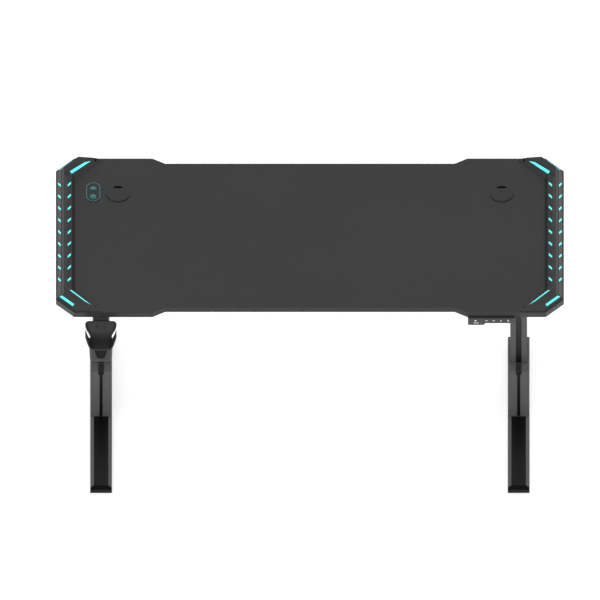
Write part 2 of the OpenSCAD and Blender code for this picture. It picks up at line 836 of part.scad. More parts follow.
// Fixed tube that stands in the column and carries the spindle's nut
module nut_tube(k) {
    z0 = foot_top + base_plate_t;
    color([0.7, 0.68, 0.5]) side(k) translate([leg_x, column_y, z0]) difference() {
        cylinder(h = nut_z1 - z0, d = nut_tube_dia);
        translate([0, 0, 3]) cylinder(h = nut_z1 - z0 - nut_len - 3, r = spindle_r + 1.5);
        translate([0, 0, 2]) cylinder(h = nut_z1, r = spindle_r + run);
    }
}

module spindle(k) {
    color([0.6, 0.6, 0.62]) side(k) translate([leg_x, column_y, spindle_z0])
        cylinder(h = drive_z + spindle_seat - spindle_z0, r = spindle_r);
}

module drive_unit(k) {
    color([0.2, 0.2, 0.21]) side(k) difference() {
        union() {
            box_on([drive_w, drive_d, drive_h], [leg_x, column_y, drive_z]);
            translate([leg_x - drive_w / 2 - motor_len, column_y, motor_z]) rotate([0, 90, 0])
                cylinder(h = motor_len + over, d = motor_dia);
        }
        translate([leg_x, column_y, drive_z - over]) cylinder(h = spindle_seat + over + 1, r = spindle_r + run);
    }
}

module left_base_cover() base_cover(-1);
module right_base_cover() base_cover(1);
module left_base_strip() base_strip(-1);
module right_base_strip() base_strip(1);
module left_outer_column() outer_column(-1);
module right_outer_column() outer_column(1);
module left_column_strip() column_strip(-1);
module right_column_strip() column_strip(1);
module left_glides() glides(-1);
module right_glides() glides(1);
module left_nut_tube() nut_tube(-1);
module right_nut_tube() nut_tube(1);
module left_inner_column() inner_column(-1);
module right_inner_column() inner_column(1);
module left_spindle() spindle(-1);
module right_spindle() spindle(1);
module left_drive_unit() drive_unit(-1);
module right_drive_unit() drive_unit(1);

// Top frame

function arm_screws() = [for (k = [-1, 1], y = arm_screw_y) [k * arm_x, y]];
function control_screws() = [for (k = [-1, 1]) [k * control_screw_dx, control_y]];
function holder_screws() = [for (k = [-1, 1]) [holder_x + k * 12, bracket_y + bracket_reach - 20]];
function panel_screws() = [for (k = [-1, 1]) [panel_x0 + panel_w / 2 + k * 45, panel_y0 + panel_d + 7]];
function screw_places() = concat(arm_screws(), control_screws(), holder_screws(), panel_screws());

module screw_holes(places) for (p = places) translate([p[0], p[1], 0])
    cylinder(h = desk_h, r = screw_r + bolt_fit);

module arm(y0, y1) difference() {
    block([arm_w, y1 - y0, arm_h], [arm_x - arm_w / 2, y0, top_z - arm_h]);
    block([arm_w - 2 * frame_wall, y1 - y0 + 2 * over, arm_h],
        [arm_x - arm_w / 2 + frame_wall, y0 - over, top_z - arm_h - frame_wall]);
}

module top_bracket(k) {
    w = frame_wall;
    y0 = head_y - head_d / 2;
    y1 = head_y + head_d / 2;
    z0 = top_z - head_h;
    color([0.15, 0.15, 0.16]) side(k) difference() {
        union() {
            arm(-arm_reach, y0 + over);
            arm(y1 - over, arm_reach);
            difference() {
                block([head_w, head_d, head_h], [leg_x - head_w / 2, y0, z0]);
                block([head_w - 2 * w, head_d - 2 * w, head_h - 2 * w], [leg_x - head_w / 2 + w, y0 + w, z0 + w]);
            }
        }
        translate([leg_x - head_w, column_y, motor_z]) rotate([0, 90, 0])
            cylinder(h = head_w, d = motor_dia + 2);
        translate([leg_x, column_y, z0 - over]) cylinder(h = 4 * over + w, r = spindle_r + 2);
        screw_holes([for (y = arm_screw_y) [arm_x, y]]);
    }
}

module cross_rail(y) {
    w = 2;
    color([0.15, 0.15, 0.16]) on_desk() difference() {
        box_on([rail_len, cross_w, cross_h], [0, y, top_z - cross_h]);
        box_on([rail_len + over, cross_w - 2 * w, cross_h - 2 * w], [0, y, top_z - cross_h + w]);
    }
}

module board_screws() {
    plate = frame_wall;
    color([0.3, 0.3, 0.3]) on_desk() for (p = screw_places())
        translate([p[0], p[1], top_z - plate - screw_head_t]) difference() {
            union() {
                cylinder(h = screw_head_t, r = screw_head_r);
                cylinder(h = screw_head_t + plate + screw_depth - 1, r = screw_r);
            }
            translate([0, 0, -over]) cylinder(h = 2.5, r = 1.8, $fn = 6);
        }
}

module left_top_bracket() top_bracket(-1);
module right_top_bracket() top_bracket(1);
module front_rail() cross_rail(head_y - head_d / 2 + cross_w / 2);
module rear_rail() cross_rail(head_y + head_d / 2 - cross_w / 2);

// Electrics

module control_box() {
    z0 = top_z - control_h;
    inlet_x = -control_w / 2 + 30;
    ear = 16;
    color([0.14, 0.14, 0.15]) on_desk() difference() {
        union() {
            box_on([control_w, control_d, control_h], [0, control_y, z0]);
            box_on([control_w + 2 * ear, 20, frame_wall], [0, control_y, top_z - frame_wall]);
        }
        box_on([inlet_w, 36, inlet_h], [inlet_x, control_y + control_d / 2, z0 + 6]);
        screw_holes(control_screws());
    }
}

// A round lead under the board, with a clip over each bend and end
module lead(points) {
    for (i = [0:len(points) - 2]) {
        d = points[i + 1] - points[i];
        translate([points[i][0], points[i][1], top_z - lead_dia / 2 - fit]) rotate([0, 90, atan2(d[1], d[0])])
            cylinder(h = norm(d), d = lead_dia);
    }
    for (p = points) box_on([clip_w, clip_w, lead_dia + fit], [p[0], p[1], top_z - lead_dia - 2 * fit]);
}

module motor_leads() {
    y0 = control_y - control_d / 2 - fit - clip_w / 2;
    y1 = head_y + head_d / 2 + fit + clip_w / 2;
    x0 = control_w / 2 - 20;
    x1 = leg_x - head_w / 2 + 9;
    color([0.08, 0.08, 0.08]) on_desk() for (k = [-1, 1])
        lead([[k * x0, y0], [k * x0, y1], [k * x1, y1]]);
}

module controller_lead() {
    y0 = panel_y0 + panel_d + panel_ear + fit + clip_w / 2;
    y1 = head_y - head_d / 2 - fit - clip_w / 2;
    x = panel_x0 + panel_w / 2;
    color([0.08, 0.08, 0.08]) on_desk() lead([[x, y0], [x, y1]]);
}

module panel_shape(g) {
    polygon([[g, -g], [g, -tab_h + g], [tab_w - g, -tab_h + g], [tab_w + 5 - g, -panel_h + g],
        [panel_w - g, -panel_h + g], [panel_w - g, -g]]);
}

module key_hole(i, w, h, y0, y1) block([w, y1 - y0, h], [key_x[i] - w / 2, y0, key_z - h / 2]);

module controller_housing() {
    color([0.38, 0.38, 0.39]) on_desk() difference() {
        union() {
            translate([panel_x0, panel_y0 + panel_d, top_z]) rotate([90, 0, 0])
                linear_extrude(panel_d) panel_shape(0);
            box_on([panel_w - 24, 2 * panel_ear, frame_wall],
                [panel_x0 + panel_w / 2, panel_y0 + panel_d, top_z - frame_wall]);
        }
        translate([panel_x0, panel_y0 + panel_d - panel_wall, top_z]) rotate([90, 0, 0])
            linear_extrude(panel_d - 2 * panel_wall) panel_shape(panel_wall);
        for (i = [0:4]) key_hole(i, key_w + 2 * fit, key_h + 2 * fit, panel_y0 - over, panel_y0 + panel_wall + over);
        block([display_w, panel_wall + 2 * over, display_h],
            [key_x[0] - display_w / 2, panel_y0 - over, display_z - display_h / 2]);
        screw_holes(panel_screws());
    }
}

module key(i) {
    y0 = panel_y0 - 0.5;
    color([0.42, 0.42, 0.43]) on_desk() {
        key_hole(i, key_w, key_h, y0, panel_y0 + panel_wall + fit + over);
        key_hole(i, key_w + 3, key_h + 2, panel_y0 + panel_wall + fit, panel_y0 + panel_wall + fit + 1.5);
        key_hole(i, key_w - 6, key_h - 3, panel_y0 + panel_wall, panel_y0 + key_back - key_travel - fit);
    }
}

module controller_board() {
    color([0.1, 0.3, 0.15]) on_desk() {
        block([panel_w - 2 * panel_wall - 2 * fit, board_t, panel_h - 2 * panel_wall - 2 * fit],
            [panel_x0 + panel_wall + fit, panel_y0 + key_back, top_z - panel_h + panel_wall + fit]);
    }
}

module controller_display() {
    color([0.02, 0.02, 0.03]) on_desk() block([display_w - 0.1, panel_wall - 0.5, display_h - 0.1],
        [key_x[0] - display_w / 2 + 0.05, panel_y0 + 0.3, display_z - display_h / 2 + 0.05]);
}

module memory_key() key(0);
module up_key() key(1);
module down_key() key(2);
module preset_one_key() key(3);
module preset_two_key() key(4);

// Cup holder

module rounded_slab(w, g, z) translate([0, 0, z]) hull() for (x = [-1, 1], y = [-1, 1])
    translate([x * (w / 2 - holder_corner), y * (w / 2 - holder_corner), 0])
    cylinder(h = 0.01, r = holder_corner - g, $fn = 32);

module holder_form(g, z0, z1) {
    hull() {
        rounded_slab(holder_base_w, g, z0);
        rounded_slab(holder_mid_w, g, holder_mid_h);
    }
    hull() {
        rounded_slab(holder_mid_w, g, holder_mid_h);
        rounded_slab(holder_top_w, g, z1);
    }
}

module cup_holder() {
    w = holder_wall;
    front = -holder_mid_w / 2;
    back = bracket_y - holder_y - fit;
    color([0.2, 0.2, 0.21]) on_desk() translate([holder_x, holder_y, holder_z]) difference() {
        union() {
            holder_form(0, 0, holder_h);
            box_on([bracket_w - 8, 14, 26], [0, back - 7, holder_h - 30]);
        }
        holder_form(w, w, holder_h + over);
        translate([-holder_top_w, 0, 0]) rotate([90, 0, 90]) linear_extrude(2 * holder_top_w)
            polygon([[front - 40, holder_mid_h], [front, holder_mid_h], [front + 22, holder_h + over],
                [front - 40, holder_h + over]]);
        for (k = [-1, 1]) box_on([holder_top_w, holder_slot_w, holder_h],
            [k * holder_top_w * 0.75, holder_slot_y + holder_slot_w / 2, holder_slot_z]);
        translate([0, -holder_y, 0]) rotate([90, 0, 0]) linear_extrude(-2 * holder_y) intersection() {
            polygon([[-10, lip_h], [10, lip_h], [13, lip_h + 12], [18, holder_mid_h + over],
                [-18, holder_mid_h + over], [-13, lip_h + 12]]);
            square([2 * holder_top_w, 4 * holder_h], center = true);
        }
    }
}

module cup_holder_bracket() {
    drop = holder_drop + 30;
    color([0.15, 0.15, 0.16]) on_desk() difference() {
        union() {
            block([bracket_w, bracket_reach, bracket_t], [holder_x - bracket_w / 2, bracket_y, top_z - bracket_t]);
            block([bracket_w, bracket_t, drop], [holder_x - bracket_w / 2, bracket_y, top_z - drop]);
        }
        screw_holes(holder_screws());
    }
}

desktop();
left_end_frame();
right_end_frame();
left_light_lenses();
right_light_lenses();
left_light_strip();
right_light_strip();
touch_pad();
left_grommet_sleeve();
right_grommet_sleeve();
left_grommet_cap();
right_grommet_cap();
left_foot();
right_foot();
left_foot_insert();
right_foot_insert();
left_foot_caps();
right_foot_caps();
left_base_cover();
right_base_cover();
left_base_strip();
right_base_strip();
left_outer_column();
right_outer_column();
left_column_strip();
right_column_strip();
left_glides();
right_glides();
left_nut_tube();
right_nut_tube();
foot_bolts();
left_front_leveller();
left_rear_leveller();
right_front_leveller();
right_rear_leveller();
left_inner_column();
right_inner_column();
left_spindle();
right_spindle();
left_drive_unit();
right_drive_unit();
left_top_bracket();
right_top_bracket();
front_rail();
rear_rail();
board_screws();
control_box();
motor_leads();
controller_lead();
controller_housing();
controller_display();
controller_board();
memory_key();
up_key();
down_key();
preset_one_key();
preset_two_key();
cup_holder();
cup_holder_bracket();
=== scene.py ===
import json
import math

import bmesh
import bpy
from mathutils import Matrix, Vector


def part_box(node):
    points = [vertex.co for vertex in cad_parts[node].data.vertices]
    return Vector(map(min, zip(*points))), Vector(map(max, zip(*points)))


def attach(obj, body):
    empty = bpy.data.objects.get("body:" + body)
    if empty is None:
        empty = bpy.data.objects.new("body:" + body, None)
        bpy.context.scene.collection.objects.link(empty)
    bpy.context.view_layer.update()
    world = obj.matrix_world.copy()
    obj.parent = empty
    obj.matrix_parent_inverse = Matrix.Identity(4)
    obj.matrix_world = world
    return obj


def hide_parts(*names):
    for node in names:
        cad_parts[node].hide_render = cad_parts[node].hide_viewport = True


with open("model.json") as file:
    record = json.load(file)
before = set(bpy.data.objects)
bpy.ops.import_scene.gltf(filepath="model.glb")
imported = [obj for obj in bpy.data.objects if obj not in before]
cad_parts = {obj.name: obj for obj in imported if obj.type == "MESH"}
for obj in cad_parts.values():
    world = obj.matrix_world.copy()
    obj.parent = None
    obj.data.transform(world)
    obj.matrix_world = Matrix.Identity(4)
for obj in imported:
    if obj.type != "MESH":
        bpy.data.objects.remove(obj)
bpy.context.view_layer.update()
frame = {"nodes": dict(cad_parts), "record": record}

MM = 0.001
SIDES = (("left", -1), ("right", 1))

# Camera: parallel, straight in front, 45 degrees down
VIEW_WIDTH = 1.6536
VIEW_TILT = math.radians(45)
VIEW_TARGET = Vector((-0.0272, 0.139, 0.3687))
VIEW_DISTANCE = 6


def make_camera():
    data = bpy.data.cameras.new("camera")
    data.type = "ORTHO"
    data.ortho_scale = VIEW_WIDTH
    data.clip_end = 50
    cam = bpy.data.objects.new("camera", data)
    bpy.context.scene.collection.objects.link(cam)
    cam.rotation_euler = (VIEW_TILT, 0, 0)
    cam.location = VIEW_TARGET - VIEW_DISTANCE * Vector((0, math.sin(VIEW_TILT), -math.cos(VIEW_TILT)))
    bpy.context.scene.camera = cam


class Shader:
    """A material with one Principled shader, and short calls for the nodes that feed it."""

    def __init__(self, name):
        self.mat = bpy.data.materials.new(name)
        self.mat.use_nodes = True
        self.tree = self.mat.node_tree
        self.tree.nodes.clear()
        self.out = self.add("ShaderNodeOutputMaterial")
        self.bsdf = self.add("ShaderNodeBsdfPrincipled")
        self.link(self.bsdf.outputs[0], self.out.inputs[0])
        self.coords = self.add("ShaderNodeTexCoord").outputs["Object"]

    def add(self, kind, **props):
        node = self.tree.nodes.new(kind)
        for key, value in props.items():
            setattr(node, key, value)
        return node

    def link(self, a, b):
        self.tree.links.new(a, b)

    def feed(self, value, socket):
        if isinstance(value, bpy.types.NodeSocket):
            self.link(value, socket)
        else:
            socket.default_value = value

    def set(self, **values):
        for key, value in values.items():
            self.feed(value, self.bsdf.inputs[key.replace("_", " ")])

    def math(self, op, a, b=0.0, c=0.0):
        node = self.add("ShaderNodeMath", operation=op)
        for i, v in enumerate((a, b, c)):
            self.feed(v, node.inputs[i])
        return node.outputs[0]

    def xyz(self, vector=None):
        node = self.add("ShaderNodeSeparateXYZ")
        self.link(vector or self.coords, node.inputs[0])
        return node.outputs

    def facing(self):
        """The surface's normal."""
        return self.add("ShaderNodeNewGeometry").outputs["Normal"]

    def upward(self):
        """How far the surface looks up: 1 is level, 0 is upright."""
        return self.xyz(self.facing())[2]

    def scaled(self, scale):
        node = self.add("ShaderNodeMapping")
        self.link(self.coords, node.inputs[0])
        node.inputs["Scale"].default_value = scale
        return node.outputs[0]

    def noise(self, scale, detail=2.0, rough=0.5, vector=None):
        node = self.add("ShaderNodeTexNoise")
        self.link(vector or self.coords, node.inputs["Vector"])
        node.inputs["Scale"].default_value = scale
        node.inputs["Detail"].default_value = detail
        node.inputs["Roughness"].default_value = rough
        return node.outputs["Fac"]

    def remap(self, value, lo, hi, out_lo=0.0, out_hi=1.0):
        node = self.add("ShaderNodeMapRange")
        self.link(value, node.inputs[0])
        for i, v in enumerate((lo, hi, out_lo, out_hi)):
            node.inputs[i + 1].default_value = v
        return node.outputs[0]

    def mix(self, factor, a, b):
        node = self.add("ShaderNodeMix", data_type="RGBA")
        self.feed(factor, node.inputs[0])
        for v, socket in ((a, node.inputs[6]), (b, node.inputs[7])):
            self.feed(v if isinstance(v, bpy.types.NodeSocket) else (*v, 1.0), socket)
        return node.outputs[2]

    def bump(self, height, distance, strength, normal):
        node = self.add("ShaderNodeBump")
        node.inputs["Strength"].default_value = strength
        node.inputs["Distance"].default_value = distance
        self.link(height, node.inputs["Height"])
        self.link(normal, node.inputs["Normal"])
        return node.outputs[0]

    def soft_edges(self, radius):
        node = self.add("ShaderNodeBevel", samples=4)
        node.inputs["Radius"].default_value = radius
        return node.outputs[0]

    # Mask of the edges that get a painted highlight.
    def edge_highlight_mask(self, normal):
        dot = self.add("ShaderNodeVectorMath", operation="DOT_PRODUCT")
        self.link(normal, dot.inputs[0])
        self.link(self.facing(), dot.inputs[1])
        return self.remap(dot.outputs["Value"], 0.995, 0.93)

    def painted_top_light(self, color, tone):
        """Painted light: another tone on faces that look up, as if more light fell on them."""
        return self.mix(self.remap(self.upward(), 0.5, 0.9), color, tone)


def grey(v):
    return (v, v, v)


def times(color, factor):
    return [c * factor for c in color]


def plastic(name, base, rough=0.5, grain=900, relief=0.06 * MM, edge=1.35, radius=0.7 * MM, shine=0.5,
            painted_top_light=None):
    """Moulded plastic: fine spark-eroded grain, slow tone changes, and a painted highlight that makes its
    edges lighter.
    """
    s = Shader(name)
    fine = s.noise(grain, 3, 0.6)
    slow = s.noise(9, 2)
    body = s.mix(s.remap(slow, 0.3, 0.7), times(base, 0.95), times(base, 1.05))
    body = s.mix(s.remap(fine, 0.35, 0.65, 0.0, 0.25), body, times(base, 0.8))
    soft = s.soft_edges(radius)
    # Painted highlight: the edges are painted lighter, as if they caught the light.
    color = s.mix(s.edge_highlight_mask(soft), body, times(base, edge))
    # Painted light: faces that look up get a lighter tone.
    if painted_top_light:
        color = s.painted_top_light(color, painted_top_light)
    s.set(Base_Color=color, Roughness=s.remap(fine, 0.3, 0.7, rough - 0.06, rough + 0.06))
    s.set(Normal=s.bump(fine, relief, 0.5, soft))
    s.bsdf.inputs["Specular IOR Level"].default_value = shine
    return s.mat


def paint(name, base, rough=0.42, peel=420, relief=0.08 * MM, edge=1.3, radius=0.9 * MM, seam=None,
          painted_top_light=None):
    """Powder coat: orange-peel skin with fine specks, and a painted highlight that makes its edges
    lighter.

    A seam is a pair of upright lines at each end of the desk: the middle's distance from x = 0, the lines'
    distance from it, and their width. A top light is a lighter tone painted on faces that look up: painted
    light.
    """
    s = Shader(name)
    skin = s.noise(peel, 2, 0.45)
    speck = s.noise(2600, 1)
    slow = s.noise(6, 2)
    body = s.mix(s.remap(slow, 0.3, 0.7), times(base, 0.96), times(base, 1.04))
    body = s.mix(s.remap(speck, 0.62, 0.75, 0.0, 0.5), body, times(base, 1.35))
    soft = s.soft_edges(radius)
    # Painted highlight: the edges are painted lighter, as if they caught the light.
    color = s.mix(s.edge_highlight_mask(soft), body, times(base, edge))
    height = skin
    # Painted light: faces that look up get a lighter tone.
    if painted_top_light:
        color = s.painted_top_light(color, painted_top_light)
    if seam:
        middle, half, width = seam
        off = s.math("ABSOLUTE", s.math("SUBTRACT", s.math("ABSOLUTE", s.xyz()[0]), middle))
        line = s.remap(s.math("ABSOLUTE", s.math("SUBTRACT", off, half)), width / 2, width, 1.0, 0.0)
        color = s.mix(line, color, times(base, 0.45))
        height = s.math("SUBTRACT", skin, s.math("MULTIPLY", line, 4.0))
    s.set(Base_Color=color, Roughness=s.remap(skin, 0.3, 0.7, rough - 0.05, rough + 0.07))
    s.set(Normal=s.bump(height, relief, 0.5, soft))
    return s.mat


def end_cap(name, low, high):
    """Dull black cap with painted light and shade: its upright faces are painted in the high, lighter
    tone, and those that look up in the low, darker one.
    """
    s = Shader(name)
    fine = s.noise(1100, 3, 0.6)
    # Painted light and shade: the tone goes by which way each face looks.
    tone = s.mix(s.remap(s.upward(), 0.1, 0.45), high, low)
    s.set(Base_Color=s.mix(s.remap(fine, 0.35, 0.65, 0.0, 0.3), tone, low),
          Roughness=s.remap(fine, 0.3, 0.7, 0.5, 0.65))
    s.bsdf.inputs["Specular IOR Level"].default_value = 0.06
    s.set(Normal=s.bump(fine, 0.04 * MM, 0.5, s.soft_edges(0.5 * MM)))
    return s.mat


def drawn_steel(name, base, rough=0.3):
    """Bare metal with fine lines along its height."""
    s = Shader(name)
    lines = s.noise(1, 3, 0.6, s.scaled((900, 900, 12)))
    s.set(Base_Color=s.mix(s.remap(lines, 0.3, 0.7), times(base, 0.85), times(base, 1.1)),
          Roughness=s.remap(lines, 0.3, 0.7, rough - 0.08, rough + 0.1))
    s.bsdf.inputs["Metallic"].default_value = 1.0
    s.set(Normal=s.bump(lines, 0.05 * MM, 0.4, s.soft_edges(0.6 * MM)))
    return s.mat


def carbon(name, warp, weft, edge_color):
    """Laminate printed and pressed as a two-by-two twill of flat tows."""
    s = Shader(name)
    tow = 2.93 * MM
    u, v = (s.math("DIVIDE", c, tow) for c in list(s.xyz())[:2])
    step = s.math("SUBTRACT", s.math("FLOOR", u), s.math("FLOOR", v))
    over = s.math("LESS_THAN", s.math("WRAP", step, 4.0, 0.0), 2.0)

    def crown(t):
        """Height across a tow: 1 on its middle, 0 at its sides."""
        c = s.math("MULTIPLY", s.math("SUBTRACT", s.math("FRACT", t), 0.5), 2.0)
        return s.math("SUBTRACT", 1.0, s.math("MULTIPLY", c, c))

    across_warp, across_weft = crown(u), crown(v)
    warp_fibre = s.noise(1, 2, 0.6, s.scaled((2600, 60, 60)))
    weft_fibre = s.noise(1, 2, 0.6, s.scaled((60, 2600, 60)))

    def pick(a, b):
        """a where the warp lies on top, else b."""
        node = s.add("ShaderNodeMix", data_type="FLOAT")
        s.feed(over, node.inputs[0])
        s.feed(b, node.inputs[2])
        s.feed(a, node.inputs[3])
        return node.outputs[0]

    fibre = pick(warp_fibre, weft_fibre)
    height = s.math("ADD", pick(across_warp, across_weft), s.math("MULTIPLY", fibre, 0.25))
    top = s.mix(over, weft, warp)
    top = s.mix(s.remap(fibre, 0.35, 0.65, 0.0, 0.35), top, times(warp, 0.7))
    slow = s.noise(3.5, 2)
    top = s.mix(s.remap(slow, 0.35, 0.65, 0.0, 0.12), top, times(warp, 1.3))
    is_top = s.math("GREATER_THAN", s.upward(), 0.5)
    edge_grain = s.noise(700, 3)
    edge = s.mix(s.remap(edge_grain, 0.35, 0.65), times(edge_color, 0.94), edge_color)
    s.set(Base_Color=s.mix(is_top, edge, top), Roughness=s.remap(fibre, 0.3, 0.7, 0.46, 0.58))
    s.set(Normal=s.bump(s.math("MULTIPLY", height, is_top), 0.18 * MM, 0.35, s.soft_edges(0.8 * MM)))
    return s.mat


def lit(name, color, strength, base=(0.0, 0.2, 0.2)):
    """Clear lens with the light behind it, a little dimmer in soft patches."""
    s = Shader(name)
    grain = s.noise(500, 2)
    spread = s.noise(35, 1)
    s.set(Base_Color=s.mix(s.remap(grain, 0.3, 0.7), times(base, 0.9), base))
    s.bsdf.inputs["Roughness"].default_value = 0.3
    s.set(Emission_Color=s.mix(s.remap(spread, 0.35, 0.65), times(color, 0.92), color))
    s.bsdf.inputs["Emission Strength"].default_value = strength
    return s.mat


SMOOTH_TRIM = {"rough": 0.3, "grain": 900, "relief": 0.02 * MM,
               "edge": 1.6, "radius": 0.4 * MM, "shine": 0.4}

MATERIALS = {
    "board": carbon("carbon laminate", warp=grey(0.023), weft=grey(0.001), edge_color=grey(0.004)),
    "frame": plastic("moulded end frame", grey(0.008), rough=0.42, grain=1100),
    "light": lit("lit lens", (0.14, 1.0, 1.0), strength=1.0),
    "led_strip": plastic("light strip", (0.7, 0.72, 0.66), rough=0.4, grain=300),
    "pad": plastic("touch pad", (0.004, 0.006, 0.0065), rough=0.25, grain=1500, relief=0.01 * MM,
                   edge=1.5, radius=0.6 * MM),
    "leg_paint": paint("grey powder coat", grey(0.056)),
    "trim": plastic("black trim", grey(0.0015), **SMOOTH_TRIM),
    "black_paint": paint("black powder coat", grey(0.012), rough=0.5),
    "steel": drawn_steel("drawn steel", grey(0.5)),
    "glide": plastic("glide plastic", (0.72, 0.72, 0.68), rough=0.35, grain=400),
    "nut": drawn_steel("drawn tube", (0.62, 0.6, 0.55), rough=0.35),
    "screw": paint("zinc plate", grey(0.03), rough=0.35, peel=1500, relief=0.03 * MM, edge=1.8,
                   radius=0.4 * MM),
    "plastic": plastic("black plastic", grey(0.01), grain=800),
    "control": plastic("key panel plastic", grey(0.03), grain=1500, relief=0.03 * MM),
    "display": plastic("display window", grey(0.003), rough=0.12, grain=2000, relief=0.005 * MM,
                       edge=1.5, radius=0.3 * MM),
    "circuit": plastic("circuit board", (0.01, 0.08, 0.03), rough=0.35, grain=300),
    "rubber": plastic("rubber", grey(0.008), rough=0.75, grain=500, relief=0.1 * MM, edge=1.4,
                      radius=0.6 * MM),
    "cup": plastic("cup holder plastic", grey(0.026), grain=700, relief=0.08 * MM, shine=0.35),
}

# Nodes with a material of their own within their slot, by the name that follows their side. Each of these
# holds painted light or shade.
FINISHES = {
    # Painted shade: the legs' grey coat, painted darker on the feet.
    "foot": paint("grey powder coat with painted shade, on a foot", grey(0.043)),
    # Painted light: the legs' grey coat, painted lighter on the covers, and lighter still on their faces
    # that look up.
    "base_cover": paint("grey powder coat with painted light, on a folded cover", grey(0.064),
                        seam=(575.4 * MM, 23.2 * MM, 0.7 * MM), painted_top_light=grey(0.1)),
    # Painted light: the strip's faces that look up are painted lighter.
    "base_strip": plastic("black strip with painted light, on a cover", grey(0.0015), painted_top_light=grey(0.028), **SMOOTH_TRIM),
    # Painted light and shade: the caps' upright faces are lighter, and their faces that look up are
    # darker.
    "foot_caps": end_cap("black end cap with painted light and shade", low=grey(0.003), high=grey(0.017)),
}


def dress_nodes():
    """Gives every CAD node the material of its slot, or a material of its own with painted light or shade.
    """
    slots = {p["node"]: p["material_slot"] for p in frame["record"]["subparts"]}
    for name, obj in frame["nodes"].items():
        mat = FINISHES.get(name.split("_", 1)[-1], MATERIALS[slots[name]])
        if not obj.material_slots:
            obj.data.materials.append(mat)
        for slot in obj.material_slots:
            slot.material = mat


# Finishes of the pieces below
WHITE_PRINT = lit("lit glyph", (0.85, 0.9, 0.92), strength=1.0, base=grey(0.3))
TEAL_PRINT = lit("lit pad print", (0.04, 0.42, 0.38), strength=1.0, base=(0.01, 0.05, 0.05))
BRISTLE = plastic("brush bristles", grey(0.0015), rough=0.8, relief=0.02 * MM, edge=1.2,
                  radius=0.2 * MM, shine=0.1)


def piece(name, verts, faces, mat, body, slot, smooth=None):
    """A new object from points in millimetres. Smooth is the angle in degrees that keeps an edge sharp."""
    mesh = bpy.data.meshes.new(name)
    mesh.from_pydata([[c * MM for c in v] for v in verts], [], faces)
    bm = bmesh.new()
    bm.from_mesh(mesh)
    bmesh.ops.recalc_face_normals(bm, faces=bm.faces)
    bm.to_mesh(mesh)
    bm.free()
    mesh.materials.append(mat)
    if smooth:
        mesh.shade_smooth()
        mesh.set_sharp_from_angle(angle=math.radians(smooth))
    obj = bpy.data.objects.new(name, mesh)
    bpy.context.scene.collection.objects.link(obj)
    if body:
        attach(obj, body)
    return obj


def merge(*parts):
    """One list of points and one of faces out of several of each."""
    verts, faces = [], []
    for v, f in parts:
        faces += [[i + len(verts) for i in face] for face in f]
        verts += v
    return verts, faces


def loft(rings):
    """Closed skin through rings of equal length, capped at both ends."""
    n = len(rings[0])
    verts = [tuple(p) for ring in rings for p in ring]
    faces = [[r * n + i, r * n + (i + 1) % n, (r + 1) * n + (i + 1) % n, (r + 1) * n + i]
             for r in range(len(rings) - 1) for i in range(n)]
    return verts, faces + [list(range(n)), [(len(rings) - 1) * n + i for i in range(n)]]


def prism(outline, z0, z1, place=lambda x, y, z: (x, y, z)):
    """An outline drawn out from z0 to z1. Place says where its points go."""
    return loft([[place(x, y, z) for x, y in outline] for z in (z0, z1)])


def turned(profile, centre, axis, n):
    """Revolves (along, radius) pairs about an axis through centre."""
    rings = []
    for along, r in profile:
        ring = []
        for i in range(n):
            a = 2 * math.pi * i / n
            p = (r * math.cos(a), r * math.sin(a))
            off = {0: (along, *p), 1: (p[0], along, p[1]), 2: (*p, along)}[axis]
            ring.append(tuple(c + o for c, o in zip(centre, off)))
        rings.append(ring)
    return loft(rings)


def ribbon(points, width, closed, z0, z1, place):
    """A stroke of constant width with mitred bends."""
    n = len(points)
    sides = []
    for i, p in enumerate(points):
        before = points[i - 1] if closed or i else None
        after = points[(i + 1) % n] if closed or i < n - 1 else None
        dirs = [Vector((b[0] - a[0], b[1] - a[1])).normalized()
                for a, b in ((before, p), (p, after)) if a and b]
        normals = [Vector((-d.y, d.x)) for d in dirs]
        mean = sum(normals, Vector((0, 0))).normalized()
        reach = width / 2 / max(0.4, mean.dot(normals[0]))
        sides.append([(p[0] + k * mean.x * reach, p[1] + k * mean.y * reach) for k in (1, -1)])
    verts = [place(*side, z) for pair in sides for z in (z0, z1) for side in pair]
    faces = []
    for i in range(n if closed else n - 1):
        a, b = 4 * i, 4 * ((i + 1) % n)
        faces += [[a + 2, a + 3, b + 3, b + 2], [a, b, b + 1, a + 1],
                  [a, a + 2, b + 2, b], [a + 1, b + 1, b + 3, a + 3]]
    if not closed:
        last = 4 * (n - 1)
        faces += [[0, 1, 3, 2], [last, last + 2, last + 3, last + 1]]
    return verts, faces


def circle(x, y, r, n):
    return [(x + r * math.cos(2 * math.pi * i / n), y + r * math.sin(2 * math.pi * i / n))
            for i in range(n)]


def glyph(name, lines, width, place, mat, body, slot, depth=0.12):
    """Raised print of a few strokes. Each is a list of points, and whether it closes."""
    root = -0.02
    parts = [ribbon(points, width, closed, root, depth, place) for points, closed in lines]
    return piece(name, *merge(*parts), mat, body, slot)


def mm_box(node):
    """A node's lowest and highest corners in millimetres."""
    return [[c / MM for c in p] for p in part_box(node)]


def middle(node):
    lo, hi = mm_box(node)
    return [(a + b) / 2 for a, b in zip(lo, hi)]


def front_of(node):
    """Places a drawing on a node's front face, about its middle."""
    x, _, z = middle(node)
    front = mm_box(node)[0][1]
    return lambda u, v, h: (x + u, front - h, z + v)


